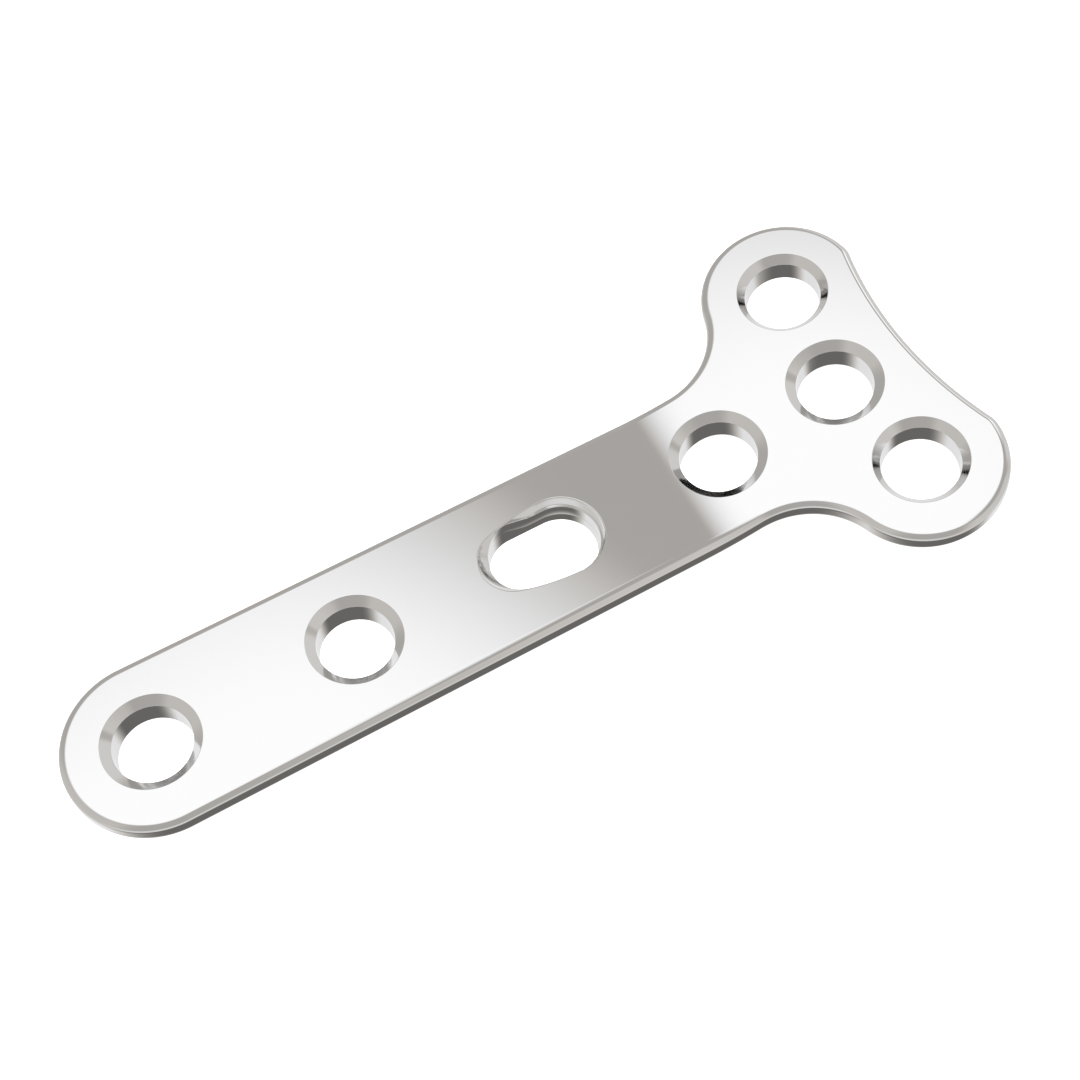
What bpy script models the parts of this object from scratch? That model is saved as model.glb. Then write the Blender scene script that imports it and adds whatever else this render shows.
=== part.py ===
"""Bone plate: a T-shaped plate with round countersunk holes and one oblong compression hole.

The plate lies with its shaft flat on the floor, face up. X runs along the shaft from the
rounded end to the head, Y across it, Z up.

The plate is drawn flat, drilled flat and then bent once, as it would be in a press, so all
lengths along X are lengths of the flat plate, measured on the countersunk face from the axis
of the end hole. The finished plate is moved so that the origin is on its underside, midway
between the first two holes.
"""
import math

import bmesh
import bpy
from mathutils import Matrix, Vector

MM = 0.001

# Plate section
thickness = 2.0 * MM
face_edge_radius = 0.54 * MM
underside_edge_radius = 1.0 * MM

# Holes along the middle, from the end hole towards the tip
shaft_hole_pitch = 12.86 * MM
slot_x = 25.68 * MM
neck_hole_x = 38.2 * MM
head_hole_pitch = 8.7 * MM
lobe_hole_lead = 1.1 * MM
lobe_hole_spacing = 14.94 * MM

# Outline, seen from above
shaft_width = 10.6 * MM
neck_radius = 5.3 * MM
lobe_radius = 5.3 * MM
tip_hollow = 1.1 * MM
tip_corner_angle = math.radians(2.0)
tip_corner_radius = 1.6 * MM

# The bend between shaft and head, which lifts the head towards the face
bend_lead = 4.1 * MM
bend_radius = 23.5 * MM
bend_angle = math.radians(11.3)

# Round holes: bores, and countersinks that widen by the flare over their depth
shaft_bore = 4.7 * MM
head_bore = 4.9 * MM
shaft_flare = 0.58 * MM
head_flare = 0.62 * MM
lobe_flare = 0.48 * MM
countersink_depth = 0.43 * MM
lobe_countersink_depth = 0.56 * MM

# The oblong compression hole: a slot with an inclined seat that a screw head slides down
slot_length = 7.14 * MM
slot_width = 4.7 * MM
seat_ledge = 0.235 * MM
seat_depth = 0.47 * MM
seat_setback = 0.1 * MM
seat_slope = math.radians(34.0)
seat_lip_radius = 0.2 * MM

# Places that follow from the sizes above
origin_x = shaft_hole_pitch / 2
head_hole_x = neck_hole_x + head_hole_pitch
lobe_x = head_hole_x + lobe_hole_lead
tip_half_chord = lobe_hole_spacing / 2 + lobe_radius * math.sin(tip_corner_angle)
tip_radius = (tip_half_chord ** 2 + tip_hollow ** 2) / (2 * tip_hollow)
tip_x = lobe_x + lobe_radius * math.cos(tip_corner_angle) - tip_hollow
bend_start_x = neck_hole_x - bend_lead
slot_half_run = (slot_length - slot_width) / 2
seat_radius = slot_width / 2 + seat_ledge
seat_x = slot_x + slot_half_run - seat_setback

# Facets
arc_step = math.radians(7.5)
hole_segments = 48
edge_segments = 3
bend_segments = 10
seat_rings = 7
clear = 1.0 * MM


def arc(centre, radius, start, end, step=arc_step):
    """Points on an arc from one angle to another, both ends included."""
    count = max(2, round(abs(end - start) / step))
    angles = [start + (end - start) * i / count for i in range(count + 1)]
    return [(centre[0] + radius * math.cos(a), centre[1] + radius * math.sin(a)) for a in angles]


def circle_crossing(centre_a, radius_a, centre_b, radius_b):
    """The crossing of two circles that lies further along X."""
    between = Vector(centre_b) - Vector(centre_a)
    reach = (between.length_squared + radius_a ** 2 - radius_b ** 2) / (2 * between.length)
    rise = math.sqrt(radius_a ** 2 - reach ** 2)
    along = between.normalized()
    across = Vector((-along.y, along.x))
    ends = [Vector(centre_a) + along * reach + across * side * rise for side in (1, -1)]
    return max(ends, key=lambda point: point.x)


def direction(start, end):
    return math.atan2(end[1] - start[1], end[0] - start[0])


def half_outline(inset):
    """The outline at Y >= 0, from the rounded end to the middle of the tip, moved inwards."""
    half_width = shaft_width / 2
    lobe = (lobe_x, lobe_hole_spacing / 2)
    neck_y = half_width + neck_radius
    neck_reach = neck_radius + lobe_radius
    neck = (lobe_x - math.sqrt(neck_reach ** 2 - (neck_y - lobe[1]) ** 2), neck_y)
    tip = (tip_x + tip_radius, 0.0)
    corner = circle_crossing(lobe, lobe_radius - tip_corner_radius, tip, tip_radius + tip_corner_radius)

    neck_to_lobe = direction(neck, lobe)
    lobe_to_corner = direction(lobe, corner)
    corner_to_tip = direction(corner, tip)
    tip_to_corner = direction(tip, corner)

    points = arc((0.0, 0.0), half_width - inset, math.pi, math.pi / 2)
    points += arc(neck, neck_radius + inset, -math.pi / 2, neck_to_lobe)
    points += arc(lobe, lobe_radius - inset, neck_to_lobe + math.pi, lobe_to_corner)[1:]
    points += arc(corner, tip_corner_radius - inset, lobe_to_corner, corner_to_tip)[1:]
    points += arc(tip, tip_radius + inset, tip_to_corner % (2 * math.pi), math.pi, arc_step / 2)[1:]
    return points


def outline(inset):
    """The whole outline as one loop, clockwise from the rounded end."""
    half = half_outline(inset)
    return half + [(x, -y) for x, y in reversed(half[1:-1])]


def edge_levels():
    """How far in and how high each ring of the plate's edge lies, from underside to face."""
    turns = [math.pi / 2 * i / edge_segments for i in range(edge_segments + 1)]
    low, high = underside_edge_radius, face_edge_radius
    levels = [(low * (1 - math.sin(a)), low * (1 - math.cos(a))) for a in turns]
    levels += [(high * (1 - math.cos(a)), thickness - high * (1 - math.sin(a))) for a in turns]
    return levels


def add_rings(bm, rings):
    """Joins closed rings of points, lowest first, into a closed solid with flat ends."""
    verts = [[bm.verts.new(point) for point in ring] for ring in rings]
    count = len(verts[0])
    for low, high in zip(verts, verts[1:]):
        for i in range(count):
            j = (i + 1) % count
            bm.faces.new((low[i], low[j], high[j], high[i]))
    bm.faces.new(reversed(verts[0]))
    bm.faces.new(verts[-1])


def plate_blank(bm):
    rings = [[(x, y, z) for x, y in outline(inset)] for inset, z in edge_levels()]
    add_rings(bm, rings)


def turned_ring(x, y, radius, z):
    angles = [2 * math.pi * i / hole_segments for i in range(hole_segments)]
    return [(x + radius * math.cos(a), y + radius * math.sin(a), z) for a in angles]


def countersunk_hole(bm, x, y, bore, flare, depth):
    """Cutter for one screw hole: a straight bore and a cone that opens at the face."""
    rings = [
        turned_ring(x, y, bore / 2, -clear),
        turned_ring(x, y, bore / 2, thickness - depth),
        turned_ring(x, y, bore / 2 + flare * (depth + clear) / depth, thickness + clear),
    ]
    add_rings(bm, rings)


def slot_columns():
    """Where each column of the slot's wall starts on the slot's middle line, and its direction."""
    side_steps = max(2, round(slot_half_run * 4 / (slot_width * arc_step)))
    turns = hole_segments // 2
    columns = []
    for end in (1, -1):
        x = slot_x + end * slot_half_run
        for i in range(turns + 1):
            a = math.pi * i / turns - math.pi / 2
            columns.append((x, end * math.cos(a), end * math.sin(a)))
        for i in range(1, side_steps):
            columns.append((x - end * 2 * slot_half_run * i / side_steps, 0.0, end))
    return columns


def reach_in_ellipse(start, ux, uy, centre, semi_x, semi_y):
    """How far a horizontal ray from the middle line runs inside an ellipse on that line."""
    a = (ux / semi_x) ** 2 + (uy / semi_y) ** 2
    b = (start - centre) * ux / semi_x ** 2
    c = ((start - centre) / semi_x) ** 2 - 1
    root = b * b - a * c
    return (math.sqrt(root) - b) / a if root > 0 else 0.0


def seat_reach(start, ux, uy, depth):
    """Reach of the seat: a ball at the deep end and the inclined bore that leads down to it."""
    below = depth - seat_depth
    reach = 0.0
    if abs(below) < seat_radius:
        ball = math.sqrt(seat_radius ** 2 - below ** 2)
        reach = reach_in_ellipse(start, ux, uy, seat_x, ball, ball)
    bore_x = seat_x + below / math.tan(seat_slope)
    bore = reach_in_ellipse(start, ux, uy, bore_x, seat_radius / math.sin(seat_slope), seat_radius)
    if start + bore * ux <= seat_x - below * math.tan(seat_slope):
        reach = max(reach, bore)
    return reach


def lip_share(start, ux):
    """How much of the rounded lip a column has: none at the shallow end, all at the deep end."""
    x = start + ux * slot_width / 2
    share = min(1.0, max(0.0, (x - slot_x) / slot_half_run + 0.5))
    return share * share * (3 - 2 * share)


def compression_hole(bm):
    """Cutter for the oblong hole, built in rings from below the underside to above the face."""
    steps = [i / edge_segments for i in range(edge_segments + 1)]
    lip = [seat_lip_radius * (1 - math.cos(math.pi / 2 * step)) for step in steps]
    seat_bottom = seat_depth + math.sqrt(seat_radius ** 2 - (slot_width / 2) ** 2)
    wall = [lip[-1] + (seat_bottom - lip[-1]) * i / seat_rings for i in range(1, seat_rings + 1)]
    rings = []
    for depth in [thickness + clear] + wall[::-1] + lip[::-1]:
        ring = []
        for start, ux, uy in slot_columns():
            reach = max(slot_width / 2, seat_reach(start, ux, uy, depth))
            fall = max(0.0, 1 - depth / seat_lip_radius)
            reach += lip_share(start, ux) * seat_lip_radius * (1 - math.sqrt(1 - fall * fall))
            ring.append((start + reach * ux, reach * uy, thickness - depth))
        rings.append(ring)
    rings.append([(x, y, thickness + clear) for x, y, z in rings[-1]])
    add_rings(bm, rings)


def hole_cutters(bm):
    countersunk_hole(bm, 0.0, 0.0, shaft_bore, shaft_flare, countersink_depth)
    countersunk_hole(bm, shaft_hole_pitch, 0.0, shaft_bore, shaft_flare, countersink_depth)
    compression_hole(bm)
    countersunk_hole(bm, neck_hole_x, 0.0, head_bore, head_flare, countersink_depth)
    countersunk_hole(bm, head_hole_x, 0.0, head_bore, head_flare, countersink_depth)
    for side in (1, -1):
        y = side * lobe_hole_spacing / 2
        countersunk_hole(bm, lobe_x, y, head_bore, lobe_flare, lobe_countersink_depth)


def mesh_from(name, build):
    bm = bmesh.new()
    build(bm)
    bmesh.ops.recalc_face_normals(bm, faces=bm.faces)
    mesh = bpy.data.meshes.new(name)
    bm.to_mesh(mesh)
    bm.free()
    return mesh


def drilled_plate():
    """The flat plate with its holes cut, as one evaluated mesh."""
    blank = bpy.data.objects.new("blank", mesh_from("blank", plate_blank))
    cutter = bpy.data.objects.new("holes", mesh_from("holes", hole_cutters))
    for obj in (blank, cutter):
        bpy.context.collection.objects.link(obj)
    cut = blank.modifiers.new("holes", "BOOLEAN")
    cut.operation = "DIFFERENCE"
    cut.solver = "EXACT"
    cut.object = cutter
    graph = bpy.context.evaluated_depsgraph_get()
    mesh = bpy.data.meshes.new_from_object(blank.evaluated_get(graph))
    bpy.data.objects.remove(blank)
    bpy.data.objects.remove(cutter)
    return mesh


def bent(point):
    """Where a point of the flat plate goes: straight on, round the bend, then straight again."""
    bend_length = bend_radius * bend_angle
    turn = min(max((point.x - bend_start_x) / bend_radius, 0.0), bend_angle)
    beyond = max(point.x - bend_start_x - bend_length, 0.0)
    radius = bend_radius + thickness - point.z
    x = min(point.x, bend_start_x) + radius * math.sin(turn) + beyond * math.cos(turn)
    z = thickness + bend_radius - radius * math.cos(turn) + beyond * math.sin(turn)
    return Vector((x, point.y, z))


def press_bend(mesh):
    """Cuts the flat mesh into strips across the bend and folds each point round it."""
    bm = bmesh.new()
    bm.from_mesh(mesh)
    bend_length = bend_radius * bend_angle
    for i in range(bend_segments + 1):
        x = bend_start_x + bend_length * i / bend_segments
        geom = bm.verts[:] + bm.edges[:] + bm.faces[:]
        bmesh.ops.bisect_plane(bm, geom=geom, plane_co=(x, 0, 0), plane_no=(1, 0, 0))
    bmesh.ops.triangulate(bm, faces=bm.faces)
    for vert in bm.verts:
        vert.co = bent(vert.co)
    bm.normal_update()
    bm.to_mesh(mesh)
    bm.free()


def polished_steel():
    material = bpy.data.materials.new("polished_steel")
    material.use_nodes = True
    shader = material.node_tree.nodes["Principled BSDF"]
    shader.inputs["Base Color"].default_value = (0.80, 0.79, 0.77, 1.0)
    shader.inputs["Metallic"].default_value = 1.0
    shader.inputs["Roughness"].default_value = 0.08
    return material


def bone_plate():
    mesh = drilled_plate()
    press_bend(mesh)
    mesh.transform(Matrix.Translation((-origin_x, 0.0, 0.0)))
    mesh.materials.clear()
    mesh.materials.append(polished_steel())
    mesh.shade_smooth()
    mesh.set_sharp_from_angle(angle=math.radians(28.0))
    plate = bpy.data.objects.new("bone_plate", mesh)
    bpy.context.collection.objects.link(plate)
    return plate


for old in list(bpy.data.objects):
    bpy.data.objects.remove(old)
bone_plate()
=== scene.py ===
"""A polished bone plate on a pale studio floor.

The plate is drawn flat as smooth surfaces, in the sizes of its solid, and is then bent once
between shaft and head. Each screw hole owns one cell of the plate; a cell's face, hole wall
and underside share their columns, so all the seams close.
"""
import math

import bpy
import numpy as np
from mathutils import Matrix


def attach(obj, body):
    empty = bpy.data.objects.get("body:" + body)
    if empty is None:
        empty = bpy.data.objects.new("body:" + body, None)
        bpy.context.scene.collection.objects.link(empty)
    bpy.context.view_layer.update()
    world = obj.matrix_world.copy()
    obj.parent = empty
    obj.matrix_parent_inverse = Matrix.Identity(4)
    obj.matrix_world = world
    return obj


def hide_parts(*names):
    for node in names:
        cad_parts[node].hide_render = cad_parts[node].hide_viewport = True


bl_info = {
    "name": "Bone plate",
    "version": (1, 0, 0),
    "blender": (4, 5, 0),
    "location": "3D View > Sidebar > Plate",
    "description": "Builds a polished bone plate with its studio",
    "category": "Add Mesh",
}

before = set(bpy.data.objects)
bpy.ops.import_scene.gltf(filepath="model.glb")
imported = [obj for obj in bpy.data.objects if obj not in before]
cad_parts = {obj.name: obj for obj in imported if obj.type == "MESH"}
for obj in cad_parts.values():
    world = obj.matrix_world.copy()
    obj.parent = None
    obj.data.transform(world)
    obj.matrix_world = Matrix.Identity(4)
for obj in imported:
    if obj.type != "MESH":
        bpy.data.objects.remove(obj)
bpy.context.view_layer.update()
NODE = "bone_plate"
MM = 0.001

# The plate's own sizes, which are those of its solid. Lengths along X are measured from the
# axis of the end hole until the plate is moved to its place.
THICKNESS = 2.0 * MM
FACE_EDGE_RADIUS = 0.54 * MM
SHAFT_HALF_WIDTH = 5.3 * MM
NECK_RADIUS = 5.3 * MM
LOBE_RADIUS = 5.3 * MM
TIP_HOLLOW = 1.1 * MM
TIP_CORNER_ANGLE = math.radians(2.0)
TIP_CORNER_RADIUS = 1.6 * MM
SHAFT_HOLE_X = 12.86 * MM
SLOT_X = 25.68 * MM
NECK_HOLE_X = 38.2 * MM
HEAD_HOLE_X = 46.9 * MM
LOBE_X = 48.0 * MM
LOBE_Y = 7.47 * MM
BEND_START_X = 34.1 * MM
BEND_RADIUS = 23.5 * MM
BEND_ANGLE = math.radians(11.3)
SHAFT_BORE_RADIUS = 2.35 * MM
HEAD_BORE_RADIUS = 2.45 * MM
SHAFT_FLARE = 0.58 * MM
HEAD_FLARE = 0.62 * MM
LOBE_FLARE = 0.48 * MM
COUNTERSINK_DEPTH = 0.43 * MM
LOBE_COUNTERSINK_DEPTH = 0.56 * MM
SLOT_HALF_RUN = 1.22 * MM
SLOT_RADIUS = 2.35 * MM

# What the photograph shows more finely than the solid has it: the underside's edges, how much
# the bores narrow on their way down, and the oblong hole's seat
UNDERSIDE_EDGE_RADIUS = 0.88 * MM
BORE_TAPER = 0.08 * MM

# The seat: a ball is rolled from one place to another, each an X and a height above the face.
# It leaves a ledge, which comes in between two depths, and a foot, whose width and depth grow
# from the first value to the second between two places along X
SEAT_RADIUS = 2.73 * MM
SEAT_START = (23.54 * MM, 1.62 * MM)
SEAT_STOP = (26.84 * MM, 0.31 * MM)
LEDGE_DEPTHS = (0.63 * MM, 0.675 * MM)
FOOT_WIDTHS = (0.03 * MM, 0.075 * MM)
FOOT_DEPTHS = (0.75 * MM, 1.45 * MM)
FOOT_GROWS = (23.6 * MM, 26.0 * MM)

# The finished plate is moved so that its origin is midway between the first two holes
ORIGIN_X = SHAFT_HOLE_X / 2

# Where one hole's cell of the plate ends and the next begins
CELL_ENDS = (6.43 * MM, 18.6 * MM, 31.8 * MM)
HEAD_CELL_X = 43.0 * MM
HEAD_CELL_Y = 3.735 * MM
NECK_CELL_SHARE = 0.55

# How finely the surfaces are divided
OUTLINE_SPACING = 0.18 * MM
SHAFT_CUT_STEPS = 56
NECK_CUT_STEPS = 20
HEAD_CUT_STEPS = 42
TIP_CUT_STEPS = 50
FACE_ROWS = 12
UNDERSIDE_ROWS = 8
ROUNDING_STEPS = 12
WALL_ROWS = 4
SEAT_ROWS = 36
SEAT_END_HALVINGS = 40

# Points that round to the same multiples of this length are welded into one
WELD = 1e-8

CAMERA_LOCATION = (-4.253 * MM, -41.505 * MM, 84.605 * MM)
CAMERA_TURN = (math.radians(30.132), math.radians(0.385), math.radians(-29.879))
LENS = 52.516
SENSOR = 36.0

# The steel's cloudiness and hairlines. Scales count features per metre
CLOUD_SCALE = 420.0
CLOUD_SWING = (0.7, 1.3)
HAIR_SCALE = (900.0, 14000.0, 900.0)
HAIR_TURN = 0.6
HAIR_HEIGHT = 0.002 * MM

FLOOR_HALF_WIDTH = 4.0
FLOOR_ROUGHNESS = 0.9
WHITE = (1.0, 1.0, 1.0, 1.0)
LAMP_SIZE = 0.5
LAMP_LOCATION = (0.02, 0.05, 0.6)
LAMP_TILT = math.radians(-5.0)

# What the steel mirrors. Greys are on the scale to 255. Zeniths are angles in degrees from
# straight up, and bearings are compass angles with +X at 0 and +Y at 90. A pair is where a
# change starts and where it ends.
GAMMA = 2.2
LIT_GREY = 253.0
CEILING_GREY = 161.0
WALL_GREY = 184.0
LOW_GREY = 192.0
GROUND_GREYS = (99.0, 220.0)
CEILING_ZENITHS = (52.0, 36.0)
LOW_ZENITHS = (100.0, 115.0)
GROUND_ZENITHS = (128.0, 141.0)

# Each patch of the walls is a change of grey, its bearing, and the cosines of the angles from
# that bearing where it starts and where it is full. A low patch has its spread in degrees.
WALL_PATCHES = (
    (15.0, 22.0, 0.788, 0.927),
    (8.0, 308.0, 0.766, 0.883),
    (-22.0, 97.0, 0.6, 0.95),
    (-22.0, 245.0, 0.707, 0.951),
)
PILLAR_GREY, PILLAR_BEARING, PILLAR_SPREAD = -18.0, 346.0, 10.0
PILLAR_ZENITHS = (66.0, 58.0)
LOW_PATCHES = ((27.0, 15.0, 75.0), (4.0, 300.0, 50.0), (18.0, 235.0, 50.0))

# The softbox ends at a zenith, sooner towards -Y, and on a slanted line that is measured on a
# ceiling one metre up. Beyond a second line the slant turns over into a hook.
SOFTBOX_ZENITHS = (47.0, 25.0)
SOFTBOX_NOTCH, NOTCH_BEARING, NOTCH_SPREAD = 8.0, 270.0, 100.0
SLANT, SLANT_START = 0.37, 0.457
HOOK, HOOK_START = 0.6, 0.36
FADE_START, FADE_RUN, FADE_POWER = 0.05, 0.28, 3.0
WINDOW_BEARING, WINDOW_SPREAD = 28.0, 16.0
WINDOW_LOWER, WINDOW_UPPER = (32.0, 38.0), (56.0, 48.0)

# The ground is dark where it is on the near side of two lines and light beyond either. They
# are measured on a ground one metre down: the first runs square to the bearing of 45 degrees,
# and the second leans a little from the X axis.
RIGHT_LINE = (-0.02, 0.64)
LEFT_LINE = (-0.36, 0.30)
LEFT_LEAN = 0.15
LEVEL_RAY = 0.02

# Greys below the first of the pair are warm, and those above the second are neutral
WARM_GREYS = (185.0, 215.0)
WARM_RED = 0.04
WARM_BLUE = 0.045


def feed(tree, slot, value):
    """Links a socket to a node's input, or sets the input to a plain value."""
    if isinstance(value, Socket):
        tree.links.new(value.output, slot)
    else:
        slot.default_value = value


class Socket:
    """One output of a shader tree, with arithmetic that adds Math nodes to the tree."""

    def __init__(self, tree, output):
        self.tree = tree
        self.output = output

    def math(self, operation, *values, clamp=False):
        node = self.tree.nodes.new("ShaderNodeMath")
        node.operation = operation
        node.use_clamp = clamp
        for slot, value in zip(node.inputs, (self,) + values):
            feed(self.tree, slot, value)
        return Socket(self.tree, node.outputs[0])

    def constant(self, value):
        node = self.tree.nodes.new("ShaderNodeValue")
        node.outputs[0].default_value = value
        return Socket(self.tree, node.outputs[0])

    def __add__(self, other):
        return self.math("ADD", other)

    def __radd__(self, other):
        return self.math("ADD", other)

    def __mul__(self, other):
        return self.math("MULTIPLY", other)

    def __rmul__(self, other):
        return self.math("MULTIPLY", other)

    def __sub__(self, other):
        return self.math("SUBTRACT", other)

    def __rsub__(self, other):
        return self.constant(other).math("SUBTRACT", self)

    def __truediv__(self, other):
        return self.math("DIVIDE", other)

    def __pow__(self, other):
        return self.math("POWER", other)

    def clamped(self):
        return self.math("MULTIPLY", 1.0, clamp=True)

    def step(self, low, high):
        """A smooth step from 0 to 1 between two values, either way round."""
        share = ((self - low) / (high - low)).clamped()
        return share * share * (3.0 - 2.0 * share)


def mix(low, high, share):
    return low + (high - low) * share


class Shader:
    """A node tree with one call for making a node and setting or linking its inputs.

    An underscore in a keyword stands for the space in an input's name.
    """

    def __init__(self, tree):
        self.tree = tree
        tree.nodes.clear()

    def node(self, kind, **sockets):
        made = self.tree.nodes.new(kind)
        for name, value in sockets.items():
            feed(self.tree, made.inputs[name.replace("_", " ")], value)
        return made

    def out(self, made, name):
        return Socket(self.tree, made.outputs[name])


def arc(centre, radius, start, end):
    """Points on an arc, evenly spaced, with the unit rays from its centre to them."""
    count = max(3, round(abs(end - start) * radius / OUTLINE_SPACING))
    turn = np.linspace(start, end, count + 1)
    rays = np.stack([np.cos(turn), np.sin(turn)], axis=1)
    return np.asarray(centre) + radius * rays, rays


def straight(x_start, x_end):
    """Points along the shaft's side at Y = half its width, with their inward normals."""
    count = max(3, round((x_end - x_start) / OUTLINE_SPACING))
    x = np.linspace(x_start, x_end, count + 1)
    points = np.stack([x, np.full_like(x, SHAFT_HALF_WIDTH)], axis=1)
    return points, np.tile([0.0, -1.0], (count + 1, 1))


def direction(start, end):
    """The angle at which one point sees another."""
    return math.atan2(end[1] - start[1], end[0] - start[0])


def circle_crossing(centre_a, radius_a, centre_b, radius_b):
    """The crossing of two circles that lies further along X."""
    a = np.asarray(centre_a)
    between = np.asarray(centre_b) - a
    distance = np.hypot(*between)
    along = between / distance
    across = np.array([-along[1], along[0]])
    reach = (distance ** 2 + radius_a ** 2 - radius_b ** 2) / (2 * distance)
    rise = math.sqrt(radius_a ** 2 - reach ** 2)
    return max((a + along * reach + across * side * rise for side in (1, -1)), key=lambda p: p[0])


def half_outline():
    """The outline at Y >= 0 as runs of points and inward normals that meet end to end.

    The rounded end, the shaft's side, the hollow neck, the lobe, the corner blend and the
    hollow tip. Each run ends where another hole's cell begins or the curve changes.
    """
    half_chord = LOBE_Y + LOBE_RADIUS * math.sin(TIP_CORNER_ANGLE)
    tip_radius = (half_chord ** 2 + TIP_HOLLOW ** 2) / (2 * TIP_HOLLOW)
    tip_x = LOBE_X + LOBE_RADIUS * math.cos(TIP_CORNER_ANGLE) - TIP_HOLLOW
    lobe = (LOBE_X, LOBE_Y)
    neck_y = SHAFT_HALF_WIDTH + NECK_RADIUS
    neck_x = LOBE_X - math.sqrt((NECK_RADIUS + LOBE_RADIUS) ** 2 - (neck_y - LOBE_Y) ** 2)
    neck = (neck_x, neck_y)
    tip = (tip_x + tip_radius, 0.0)
    corner = circle_crossing(
        lobe, LOBE_RADIUS - TIP_CORNER_RADIUS, tip, tip_radius + TIP_CORNER_RADIUS)
    neck_end = direction(neck, lobe)
    neck_cut = -math.pi / 2 + (neck_end + math.pi / 2) * NECK_CELL_SHARE
    lobe_end = direction(lobe, corner)
    tip_start = direction(tip, corner) % (2 * math.pi)
    tip_cut = math.pi - math.asin(HEAD_CELL_Y / tip_radius)

    runs = {"end": arc((0.0, 0.0), SHAFT_HALF_WIDTH, math.pi, math.pi / 2)}
    stops = (0.0,) + CELL_ENDS + (neck_x,)
    for name, start, end in zip(("side_1", "side_2", "side_3", "side_4"), stops, stops[1:]):
        runs[name] = straight(start, end)
    runs["neck_1"] = arc(neck, NECK_RADIUS, -math.pi / 2, neck_cut)
    runs["neck_2"] = arc(neck, NECK_RADIUS, neck_cut, neck_end)
    runs["lobe"] = arc(lobe, LOBE_RADIUS, neck_end + math.pi, lobe_end)
    runs["corner"] = arc(corner, TIP_CORNER_RADIUS, lobe_end, direction(corner, tip))
    runs["tip_1"] = arc(tip, tip_radius, tip_start, tip_cut)
    runs["tip_2"] = arc(tip, tip_radius, tip_cut, math.pi)
    for name in ("end", "lobe", "corner"):
        points, rays = runs[name]
        runs[name] = (points, -rays)
    return runs


def mirrored(path):
    """The same path on the other side of the XZ plane, walked the other way."""
    return path[::-1] * [1.0, -1.0]


def line(start, end, count):
    share = np.linspace(0.0, 1.0, count + 1)[:, None]
    return start * (1 - share) + end * share


def join(*paths):
    """One closed loop from paths that meet end to end; each drops the point it shares."""
    return np.concatenate([path[:-1] for path in paths])


def cell_loops(runs, inset):
    """The closed outer loop of each hole's cell on one side of the plate, clockwise from above."""
    side = {name: points + inset * normals for name, (points, normals) in runs.items()}
    ends = [side[name][-1] for name in ("side_1", "side_2", "side_3")]
    cuts = [line(end, end * [1, -1], SHAFT_CUT_STEPS) for end in ends]
    knee = np.array([HEAD_CELL_X, HEAD_CELL_Y])
    neck_line = line(side["neck_1"][-1], knee, NECK_CUT_STEPS)
    head_line = line(knee, knee * [1, -1], HEAD_CUT_STEPS)
    tip_line = line(side["tip_1"][-1], knee, TIP_CUT_STEPS)
    neck = join(side["side_4"], side["neck_1"], neck_line, head_line, mirrored(neck_line),
                mirrored(side["neck_1"]), mirrored(side["side_4"]), cuts[2][::-1])
    head = join(tip_line[::-1], side["tip_2"], mirrored(side["tip_2"]), tip_line * [1, -1],
                head_line[::-1])
    lobe = join(side["neck_2"], side["lobe"], side["corner"], side["tip_1"], tip_line,
                neck_line[::-1])
    return {
        "end": join(side["end"], side["side_1"], cuts[0], mirrored(side["side_1"]),
                    mirrored(side["end"])),
        "shaft": join(side["side_2"], cuts[1], mirrored(side["side_2"]), cuts[0][::-1]),
        "slot": join(side["side_3"], cuts[2], mirrored(side["side_3"]), cuts[1][::-1]),
        "neck": neck,
        "head": head,
        "lobe_left": lobe,
        "lobe_right": lobe[::-1] * [1.0, -1.0],
    }


class Skin:
    """Grids of points and normals, gathered and welded into one closed mesh."""

    def __init__(self):
        self.points, self.normals, self.quads = [], [], []
        self.count = 0

    def add(self, points, normals):
        """Adds a grid of rows by columns whose last column joins its first."""
        rows, columns = points.shape[:2]
        index = self.count + np.arange(rows * columns).reshape(rows, columns)
        after = np.roll(index, -1, axis=1)
        quads = np.stack([index[:-1], index[1:], after[1:], after[:-1]], axis=-1)
        self.points.append(points.reshape(-1, 3))
        self.normals.append(np.broadcast_to(normals, points.shape).reshape(-1, 3))
        self.quads.append(quads.reshape(-1, 4))
        self.count += rows * columns

    def mesh(self, name):
        """Welds points that coincide, bends them and gives each corner its own bent normal."""
        points = np.concatenate(self.points)
        normals = np.concatenate(self.normals)
        quads = np.concatenate(self.quads)
        _, first, owner = np.unique(
            np.round(points / WELD).astype(np.int64), axis=0,
            return_index=True, return_inverse=True)
        made = bpy.data.meshes.new(name)
        made.from_pydata(bend(points[first]), [], owner.reshape(-1)[quads])
        made.shade_smooth()
        made.normals_split_custom_set(bend_normals(points, normals)[quads.reshape(-1)])
        return made


def bend_turn(points):
    """How far the plate has turned at each point: its way past the bend's start by radius."""
    return np.clip((points[:, 0] - BEND_START_X) / BEND_RADIUS, 0.0, BEND_ANGLE)


def bend(points):
    """Straight on, round the bend about a line above the face, then straight again.

    Within the bend, X and Z are the sine and cosine of the turn times the radius at the
    point's depth. Last of all comes the shift to the origin.
    """
    turn = bend_turn(points)
    beyond = np.maximum(points[:, 0] - BEND_START_X - BEND_RADIUS * BEND_ANGLE, 0.0)
    radius = BEND_RADIUS + THICKNESS - points[:, 2]
    x = np.minimum(points[:, 0], BEND_START_X) + radius * np.sin(turn) + beyond * np.cos(turn)
    z = THICKNESS + BEND_RADIUS - radius * np.cos(turn) + beyond * np.sin(turn)
    return np.stack([x - ORIGIN_X, points[:, 1], z], axis=1)


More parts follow.
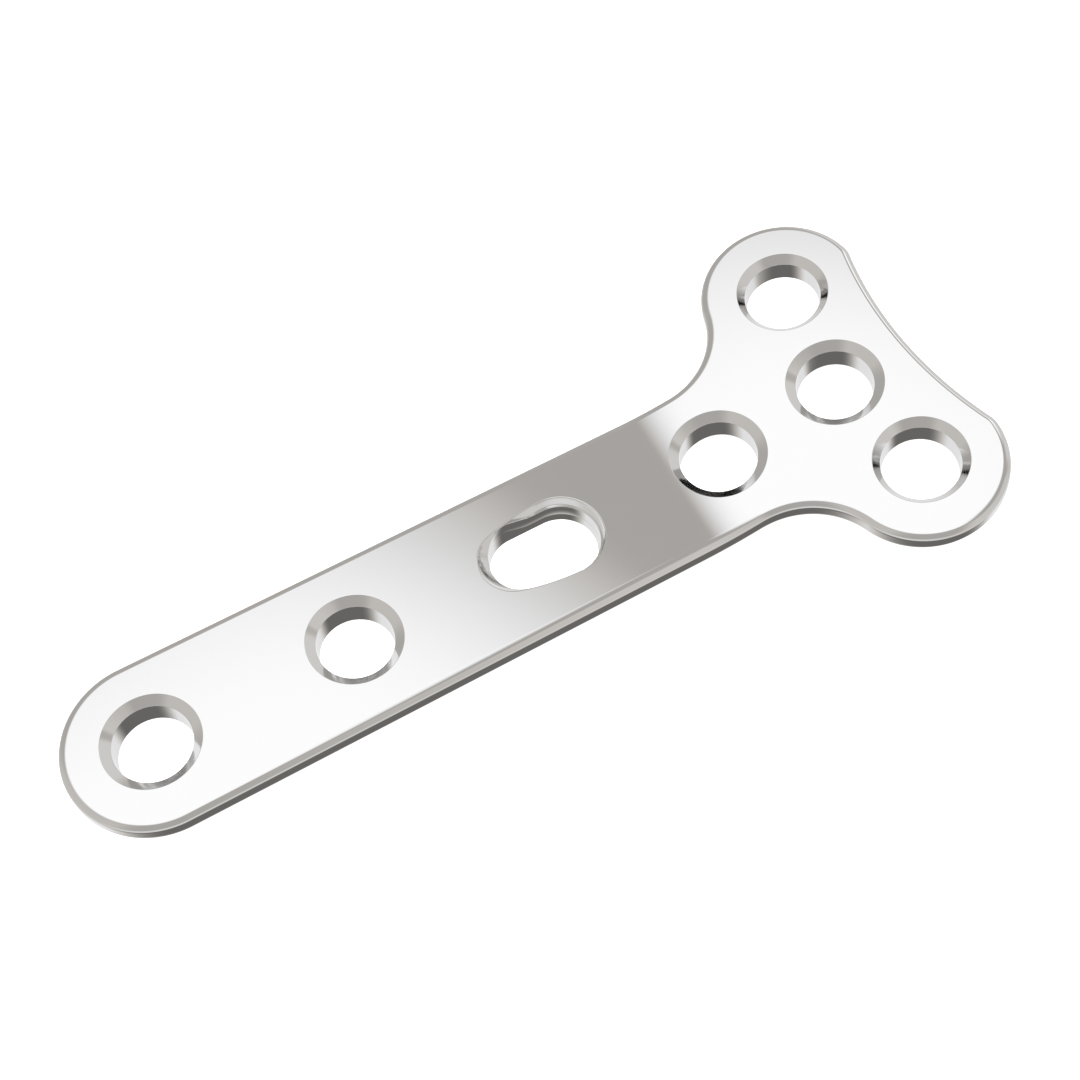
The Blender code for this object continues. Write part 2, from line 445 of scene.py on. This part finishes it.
def bend_normals(points, normals):
    """Normals turn with the bend; inside it the lengths along X stretch with the depth."""
    turn = bend_turn(points)
    bent = (turn > 0.0) & (turn < BEND_ANGLE)
    stretch = np.where(bent, 1 + (THICKNESS - points[:, 2]) / BEND_RADIUS, 1.0)
    along = normals[:, 0] / stretch
    length = np.sqrt(along ** 2 + normals[:, 1] ** 2 + normals[:, 2] ** 2)
    x = along * np.cos(turn) - normals[:, 2] * np.sin(turn)
    z = along * np.sin(turn) + normals[:, 2] * np.cos(turn)
    return np.stack([x, normals[:, 1], z], axis=1) / length[:, None]


def lifted(path, height):
    return np.concatenate([path, np.full((len(path), 1), height)], axis=1)


def ruled(first, last, rows):
    """A grid of straight lines between two rings."""
    share = np.linspace(0.0, 1.0, rows + 1)[:, None, None]
    return first[None] * (1 - share) + last[None] * share


def rounded_profile(corners, radius):
    """A profile of straight legs with an arc at each inner corner, and its outward normals.

    The arcs touch both legs. Every corner is convex, so a normal points from the arc's
    centre to the arc.
    """
    points, normals = [], []
    for before, corner, after in zip(corners, corners[1:], corners[2:]):
        u = (before - corner) / np.hypot(*(before - corner))
        v = (after - corner) / np.hypot(*(after - corner))
        half = math.acos(float(np.clip(u @ v, -1, 1))) / 2
        centre = corner + (u + v) / np.hypot(*(u + v)) * radius / math.sin(half)
        first = corner + u * radius / math.tan(half) - centre
        last = corner + v * radius / math.tan(half) - centre
        share = np.linspace(0.0, 1.0, ROUNDING_STEPS // 2 + 1)[:, None]
        sweep = math.pi - 2 * half
        weights = np.sin((1 - share) * sweep), np.sin(share * sweep)
        ray = (first * weights[0] + last * weights[1]) / math.sin(sweep)
        if points:
            gap = np.linspace(0.0, 1.0, WALL_ROWS + 1)[1:-1, None]
            points.append(points[-1][-1] * (1 - gap) + (centre + first) * gap)
            normals.append(np.repeat(normals[-1][-1:], WALL_ROWS - 1, axis=0))
        points.append(centre + ray)
        normals.append(ray / radius)
    return np.concatenate(points), np.concatenate(normals)


def swept(profile, slope, start, ray):
    """A grid of points and one of normals, in which each column is the same profile.

    Each row of the profile is a distance along a column's ray and a height, and each row of
    the slope is the normal there in the same two directions.
    """
    def grid(pairs, origin):
        across = origin + pairs[:, :1, None] * ray
        height = np.broadcast_to(pairs[:, 1, None, None], (len(pairs), len(ray), 1))
        return np.concatenate([across, height], axis=2)

    return grid(profile, start), grid(slope, 0.0)


def hole_columns(loop, centre, half_run):
    """For each point of a cell's loop, its column's start on the hole's middle line and the
    unit direction in which the column leaves that line."""
    x = np.clip(loop[:, 0], centre[0] - half_run, centre[0] + half_run)
    start = np.stack([x, np.full_like(x, centre[1])], axis=1)
    ray = loop - start
    return start, ray / np.hypot(ray[:, 0], ray[:, 1])[:, None]


def round_hole(loop, centre, bore_radius, flare, depth, rim_rounding):
    """The wall of a countersunk hole, turned about its axis: a cone, three roundings and a
    bore that narrows a little on its way down."""
    start, ray = hole_columns(loop, centre, 0.0)
    corners = np.array([
        [bore_radius + 2 * flare, THICKNESS],
        [bore_radius + flare, THICKNESS],
        [bore_radius, THICKNESS - depth],
        [bore_radius - BORE_TAPER, 0.0],
        [bore_radius + flare, 0.0],
    ])
    return swept(*rounded_profile(corners, rim_rounding), start, ray)


def reach_in_ellipse(start, ray, centre, semi_x, semi_y):
    """How far a level ray from the middle line runs inside an ellipse on that line: the
    larger root of the ellipse's equation along the ray."""
    a = (ray[:, 0] / semi_x) ** 2 + (ray[:, 1] / semi_y) ** 2
    b = (start[:, 0] - centre) * ray[:, 0] / semi_x ** 2
    c = ((start[:, 0] - centre) / semi_x) ** 2 - 1
    root = b * b - a * c
    return np.where(root > 0, (np.sqrt(np.maximum(root, 0)) - b) / a, 0.0)


def ball_reach(start, ray, centre, depth):
    """Reach inside the ball at one depth, or nothing where the ball doesn't come that deep."""
    cut = SEAT_RADIUS ** 2 - (depth + centre[1]) ** 2
    radius = np.sqrt(np.maximum(cut, 1e-12))
    return np.where(cut > 0, reach_in_ellipse(start, ray, centre[0], radius, radius), 0.0)


def seat_reach(start, ray, depth):
    """Reach of the ball as it rolls: both end places and the round bore between them."""
    run = SEAT_STOP[0] - SEAT_START[0]
    fall = SEAT_START[1] - SEAT_STOP[1]
    slope = math.atan2(fall, run)
    sunk = depth + SEAT_START[1]
    middle = SEAT_START[0] + sunk / math.tan(slope)
    bore = reach_in_ellipse(start, ray, middle, SEAT_RADIUS / math.sin(slope), SEAT_RADIUS)
    ahead = start[:, 0] + bore * ray[:, 0] - SEAT_START[0]
    along = ahead * math.cos(slope) + sunk * math.sin(slope)
    bore = np.where((along >= 0) & (along <= math.hypot(run, fall)), bore, 0.0)
    ends = [ball_reach(start, ray, place, depth) for place in (SEAT_START, SEAT_STOP)]
    return np.maximum.reduce([bore] + ends)


def seat_end_depth(start, ray):
    """The depth at which the seat meets the slot's straight wall, found by halving."""
    low = np.zeros(len(start))
    high = np.full(len(start), THICKNESS)
    for _ in range(SEAT_END_HALVINGS):
        middle = (low + high) / 2
        open_seat = seat_reach(start, ray, middle) > SLOT_RADIUS
        low = np.where(open_seat, middle, low)
        high = np.where(open_seat, high, middle)
    return low


def grid_normals(points):
    """Unit normals of a closed grid, from the cross product of its two tangents."""
    wrapped = np.concatenate([points[:, -1:], points, points[:, :1]], axis=1)
    across = wrapped[:, 2:] - wrapped[:, :-2]
    down = np.gradient(points, axis=0)
    normal = np.cross(down, across)
    return normal / np.maximum(np.linalg.norm(normal, axis=2), 1e-30)[..., None]


def smooth_step(values, low, high):
    """Three squares less two cubes of the share of the way from one value to another."""
    share = np.clip((values - low) / (high - low), 0.0, 1.0)
    return share * share * (3 - 2 * share)


def compression_hole(loop, rim_rounding):
    """The oblong hole: lip and seat in one grid, the straight wall below them in another.

    The seat reaches as far as the rolling ball or, where that is further, as far as the foot:
    the slot's radius and a width that shrinks with the cube of the depth. Towards the deep
    end it comes in to the foot at the ledge. The lip is a quarter round at the face.
    """
    start, ray = hole_columns(loop, (SLOT_X, 0.0), SLOT_HALF_RUN)
    grown = smooth_step(start[:, 0] + ray[:, 0] * SLOT_RADIUS, *FOOT_GROWS)
    foot_width, foot_depth = [mix(*pair, grown) for pair in (FOOT_WIDTHS, FOOT_DEPTHS)]
    seat_end = np.maximum(seat_end_depth(start, ray), foot_depth)
    steps = np.linspace(0.0, 1.0, ROUNDING_STEPS + 1)
    lip_depth = np.outer(rim_rounding * (1 - np.cos(steps * math.pi / 2)), np.ones(len(loop)))
    seat_share = np.linspace(0.0, 1.0, SEAT_ROWS + 1)[1:, None]
    seat_depth = rim_rounding + (seat_end - rim_rounding) * seat_share
    rows = []
    for depth in np.concatenate([lip_depth, seat_depth]):
        foot = SLOT_RADIUS + foot_width * (1 - (depth / seat_end) ** 3)
        on_foot = grown * smooth_step(depth, *LEDGE_DEPTHS)
        reach = np.maximum(seat_reach(start, ray, depth), foot) * (1 - on_foot) + foot * on_foot
        fall = np.maximum(0.0, 1 - depth / rim_rounding)
        reach = reach + rim_rounding * (1 - np.sqrt(1 - fall ** 2))
        height = (THICKNESS - depth)[:, None]
        rows.append(np.concatenate([start + reach[:, None] * ray, height], axis=1))
    seat = np.array(rows)
    seat[-1, :, :2] = start + SLOT_RADIUS * ray
    seat_normals = grid_normals(seat)
    seat_normals[0] = (0.0, 0.0, 1.0)

    corners = np.array([
        [SLOT_RADIUS, THICKNESS],
        [SLOT_RADIUS - BORE_TAPER, 0.0],
        [2 * SLOT_RADIUS, 0.0],
    ])
    wall, wall_normals = swept(*rounded_profile(corners, rim_rounding), start, ray)
    wall = np.concatenate([seat[-1:], wall])
    wall_normals = np.concatenate([wall_normals[:1], wall_normals])
    return seat, seat_normals, wall, wall_normals


def edge_skin(skin, runs):
    """The plate's edge: a quarter round below the face, a wall, and a larger quarter round.

    The profile goes from the face to the underside. The centre of each round is one radius
    in from the outline and one radius away from the flat side that it blends into.
    """
    half = []
    for i in (0, 1):
        parts = [pair[i][:-1] for pair in runs.values()]
        half.append(np.concatenate(parts + [runs["tip_2"][i][-1:]]))
    points, inward = [np.concatenate([side, side[-2:0:-1] * [1.0, -1.0]]) for side in half]
    turn = np.linspace(0.0, math.pi / 2, ROUNDING_STEPS + 1)
    upper = np.stack([-np.cos(turn), np.sin(turn)], axis=1)[::-1]
    lower = np.stack([-np.sin(turn), -np.cos(turn)], axis=1)[::-1]
    profile = np.concatenate([
        FACE_EDGE_RADIUS * (upper + [1, -1]) + [0, THICKNESS],
        UNDERSIDE_EDGE_RADIUS * (lower + [1, 1]),
    ])
    grid, normals = swept(profile, np.concatenate([upper, lower]), points, inward)
    skin.add(grid[::-1], normals[::-1])


def plate_mesh(rim_rounding):
    """The edge, and for each cell its hole, its face around it and its underside."""
    runs = half_outline()
    skin = Skin()
    edge_skin(skin, runs)
    face_loops = cell_loops(runs, FACE_EDGE_RADIUS)
    under_loops = cell_loops(runs, UNDERSIDE_EDGE_RADIUS)
    shaft = (SHAFT_BORE_RADIUS, SHAFT_FLARE, COUNTERSINK_DEPTH)
    head = (HEAD_BORE_RADIUS, HEAD_FLARE, COUNTERSINK_DEPTH)
    lobe = (HEAD_BORE_RADIUS, LOBE_FLARE, LOBE_COUNTERSINK_DEPTH)
    holes = {
        "end": ((0.0, 0.0), shaft),
        "shaft": ((SHAFT_HOLE_X, 0.0), shaft),
        "neck": ((NECK_HOLE_X, 0.0), head),
        "head": ((HEAD_HOLE_X, 0.0), head),
        "lobe_left": ((LOBE_X, LOBE_Y), lobe),
        "lobe_right": ((LOBE_X, -LOBE_Y), lobe),
    }
    for name, face_loop in face_loops.items():
        outer = lifted(face_loop, THICKNESS)
        if name == "slot":
            seat, seat_normals, wall, wall_normals = compression_hole(face_loop, rim_rounding)
            skin.add(seat, seat_normals)
        else:
            centre, sizes = holes[name]
            wall, wall_normals = round_hole(face_loop, centre, *sizes, rim_rounding)
            seat = wall
        skin.add(wall, wall_normals)
        skin.add(ruled(outer, seat[0], FACE_ROWS), (0.0, 0.0, 1.0))
        under = lifted(under_loops[name], 0.0)
        skin.add(ruled(wall[-1], under, UNDERSIDE_ROWS), (0.0, 0.0, -1.0))
    return skin.mesh("plate")


def polished_steel(look):
    """Mirror-polished stainless steel with the faint cloudiness and hairlines of buffing."""
    material = bpy.data.materials.new("polished_steel")
    material.use_nodes = True
    shader = Shader(material.node_tree)
    place = shader.node("ShaderNodeTexCoord")
    here = shader.out(place, "Object")
    cloud = shader.node("ShaderNodeTexNoise", Vector=here, Scale=CLOUD_SCALE, Detail=5.0)
    stretched = shader.node("ShaderNodeMapping", Vector=here, Rotation=(0.0, 0.0, HAIR_TURN),
                            Scale=HAIR_SCALE)
    hair = shader.node("ShaderNodeTexNoise", Vector=shader.out(stretched, "Vector"),
                       Scale=1.0, Detail=2.0)
    roughness = look.roughness * mix(*CLOUD_SWING, shader.out(cloud, "Fac"))
    bump = shader.node("ShaderNodeBump", Strength=look.hairlines, Distance=HAIR_HEIGHT,
                       Height=shader.out(hair, "Fac"))
    steel = shader.node("ShaderNodeBsdfPrincipled", Base_Color=(*look.steel_colour, 1.0),
                        Metallic=1.0, Roughness=roughness, Normal=shader.out(bump, "Normal"))
    shader.node("ShaderNodeOutputMaterial", Surface=shader.out(steel, "BSDF"))
    return material


def studio_world(look):
    """What the steel mirrors, as a function of the direction alone.

    Overhead is a softbox in a grey ceiling, and a small window beside it. Round about are
    walls, each a little lighter or darker than the next, below the horizon a low band, and
    under that a ground that is dark towards -Y and light towards +Y and +X. Darker greys are
    a little warm. The camera itself sees plain white.
    """
    world = bpy.data.worlds.new("studio")
    bpy.context.scene.world = world
    world.use_nodes = True
    shader = Shader(world.node_tree)
    place = shader.node("ShaderNodeTexCoord")
    axes = shader.node("ShaderNodeSeparateXYZ", Vector=shader.out(place, "Generated"))
    x, y, z = (shader.out(axes, name) for name in "XYZ")
    level_run = (x * x + y * y + 1e-6) ** 0.5
    zenith = z.math("ARCCOSINE") * (180.0 / math.pi)

    def facing(bearing):
        turn = math.radians(bearing)
        return (x * math.cos(turn) + y * math.sin(turn)) / level_run

    def bump(bearing, spread):
        return facing(bearing).step(math.cos(math.radians(spread)), 1.0)

    height = z.math("MAXIMUM", LEVEL_RAY)
    ahead = y / height
    hook = (HOOK_START - ahead).math("MAXIMUM", 0.0)
    edge = x / height + SLANT * (ahead - SLANT_START) + HOOK * hook
    fade = ((edge - FADE_START) / FADE_RUN).clamped() ** FADE_POWER
    softbox_end = SOFTBOX_ZENITHS[0] - SOFTBOX_NOTCH * bump(NOTCH_BEARING, NOTCH_SPREAD)
    softbox = zenith.step(softbox_end, SOFTBOX_ZENITHS[1]) * (1.0 - fade)
    window = zenith.step(*WINDOW_LOWER) * zenith.step(*WINDOW_UPPER)
    window = window * bump(WINDOW_BEARING, WINDOW_SPREAD)

    wall = WALL_GREY
    for rise, bearing, outer, inner in WALL_PATCHES:
        wall = wall + rise * facing(bearing).step(outer, inner)
    pillar = bump(PILLAR_BEARING, PILLAR_SPREAD) * zenith.step(*PILLAR_ZENITHS)
    wall = wall + PILLAR_GREY * pillar
    low = LOW_GREY
    for rise, bearing, spread in LOW_PATCHES:
        low = low + rise * bump(bearing, spread)
    depth = (z * -1.0).math("MAXIMUM", LEVEL_RAY)
    right = ((x + y) / depth).step(*RIGHT_LINE)
    left = ((y - LEFT_LEAN * x) / depth).step(*LEFT_LINE)
    ground = mix(*GROUND_GREYS, right.math("MAXIMUM", left))

    grey = mix(wall, CEILING_GREY, zenith.step(*CEILING_ZENITHS))
    grey = mix(grey, low, zenith.step(*LOW_ZENITHS))
    grey = mix(grey, ground, zenith.step(*GROUND_ZENITHS))
    grey = mix(grey, LIT_GREY, softbox + window)
    level = (grey / 255.0) ** GAMMA
    warmth = 1.0 - grey.step(*WARM_GREYS)
    colour = shader.node("ShaderNodeCombineColor", Red=level * (1.0 + WARM_RED * warmth),
                         Green=level, Blue=level * (1.0 - WARM_BLUE * warmth))
    sky = shader.node("ShaderNodeBackground", Strength=look.surroundings,
                      Color=shader.out(colour, "Color"))
    white = shader.node("ShaderNodeBackground", Color=WHITE, Strength=1.0)
    path = shader.node("ShaderNodeLightPath")
    blend = shader.node("ShaderNodeMixShader", Fac=shader.out(path, "Is Camera Ray"))
    world.node_tree.links.new(sky.outputs[0], blend.inputs[1])
    world.node_tree.links.new(white.outputs[0], blend.inputs[2])
    shader.node("ShaderNodeOutputWorld", Surface=shader.out(blend, "Shader"))


def studio_floor(look):
    """A pale floor, too bright for more than the plate's deepest shadow to show."""
    size = FLOOR_HALF_WIDTH
    corners = [(-size, -size, 0.0), (size, -size, 0.0), (size, size, 0.0), (-size, size, 0.0)]
    mesh = bpy.data.meshes.new("floor")
    mesh.from_pydata(corners, [], [(0, 1, 2, 3)])
    floor = bpy.data.objects.new("floor", mesh)
    bpy.context.collection.objects.link(floor)
    material = bpy.data.materials.new("floor")
    material.use_nodes = True
    shader = Shader(material.node_tree)
    paint = shader.node("ShaderNodeBsdfPrincipled", Base_Color=(*look.floor_colour, 1.0),
                        Roughness=FLOOR_ROUGHNESS, Emission_Color=WHITE,
                        Emission_Strength=look.floor_glow)
    shader.node("ShaderNodeOutputMaterial", Surface=shader.out(paint, "BSDF"))
    mesh.materials.append(material)
    floor.visible_glossy = False


def studio_lamp(look):
    """One large soft lamp overhead. The steel doesn't mirror it."""
    lamp = bpy.data.lights.new("overhead", "AREA")
    lamp.shape = "DISK"
    lamp.size = LAMP_SIZE
    lamp.energy = look.lamp_power
    hung = bpy.data.objects.new("overhead", lamp)
    hung.location = LAMP_LOCATION
    hung.rotation_euler = (LAMP_TILT, 0.0, 0.0)
    hung.visible_glossy = False
    bpy.context.collection.objects.link(hung)


def studio_camera():
    camera = bpy.data.cameras.new("camera")
    camera.lens = LENS
    camera.sensor_width = SENSOR
    camera.clip_start = 0.001
    camera.clip_end = 100.0
    held = bpy.data.objects.new("camera", camera)
    held.location = CAMERA_LOCATION
    held.rotation_euler = CAMERA_TURN
    bpy.context.collection.objects.link(held)
    bpy.context.scene.camera = held


class PlateLook(bpy.types.PropertyGroup):
    steel_colour: bpy.props.FloatVectorProperty(
        name="Steel colour", description="Tint of the polished steel", subtype="COLOR",
        default=(0.8, 0.8, 0.8), min=0.0, max=1.0)
    roughness: bpy.props.FloatProperty(
        name="Roughness", description="How much the polish blurs what it mirrors",
        default=0.06, min=0.0, max=1.0, subtype="FACTOR")
    hairlines: bpy.props.FloatProperty(
        name="Hairlines", description="How strongly the buffing lines show",
        default=0.04, min=0.0, max=1.0, subtype="FACTOR")
    rim_rounding: bpy.props.FloatProperty(
        name="Rim rounding", description="Radius at the edges of the holes",
        default=0.05 * MM, min=0.01 * MM, max=0.1 * MM,
        subtype="DISTANCE", unit="LENGTH", precision=6)


class StudioLook(bpy.types.PropertyGroup):
    surroundings: bpy.props.FloatProperty(
        name="Surroundings", description="Strength of the softbox and walls in the steel",
        default=1.245, min=0.0, max=10.0)
    floor_colour: bpy.props.FloatVectorProperty(
        name="Floor colour", description="Paint of the floor", subtype="COLOR",
        default=(0.8, 0.8, 0.8), min=0.0, max=1.0)
    floor_glow: bpy.props.FloatProperty(
        name="Floor glow", description="Light that the floor gives by itself",
        default=0.8, min=0.0, max=10.0)
    lamp_power: bpy.props.FloatProperty(
        name="Lamp power", description="Power of the overhead lamp",
        default=3.0, min=0.0, max=1000.0, unit="POWER")


class PLATE_OT_build(bpy.types.Operator):
    """Builds the bone plate and dresses it in polished steel"""

    bl_idname = "plate.build"
    bl_label = "Build plate"

    def execute(self, context):
        look = context.scene.plate_look
        mesh = plate_mesh(look.rim_rounding)
        mesh.materials.append(polished_steel(look))
        plate = bpy.data.objects.new("plate", mesh)
        context.collection.objects.link(plate)
        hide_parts(NODE)
        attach(plate, "root")
        return {"FINISHED"}


class PLATE_OT_stage(bpy.types.Operator):
    """Sets up the floor, the surroundings, the lamp and the camera"""

    bl_idname = "plate.stage"
    bl_label = "Build studio"

    def execute(self, context):
        look = context.scene.studio_look
        studio_world(look)
        studio_floor(look)
        studio_lamp(look)
        studio_camera()
        context.scene.view_settings.view_transform = "Standard"
        return {"FINISHED"}


class PLATE_PT_panel(bpy.types.Panel):
    bl_idname = "PLATE_PT_panel"
    bl_label = "Bone plate"
    bl_space_type = "VIEW_3D"
    bl_region_type = "UI"
    bl_category = "Plate"

    def draw(self, context):
        for look, names in (
            (context.scene.plate_look, ("steel_colour", "roughness", "hairlines", "rim_rounding")),
            (context.scene.studio_look,
             ("surroundings", "floor_colour", "floor_glow", "lamp_power")),
        ):
            for name in names:
                self.layout.prop(look, name)
        self.layout.operator("plate.build")
        self.layout.operator("plate.stage")


CLASSES = (PlateLook, StudioLook, PLATE_OT_build, PLATE_OT_stage, PLATE_PT_panel)


def register():
    for made in CLASSES:
        bpy.utils.register_class(made)
    bpy.types.Scene.plate_look = bpy.props.PointerProperty(type=PlateLook)
    bpy.types.Scene.studio_look = bpy.props.PointerProperty(type=StudioLook)


def unregister():
    del bpy.types.Scene.studio_look
    del bpy.types.Scene.plate_look
    for made in reversed(CLASSES):
        bpy.utils.unregister_class(made)


def main():
    register()
    bpy.ops.plate.build()
    bpy.ops.plate.stage()


if __name__ == "__main__":
    main()
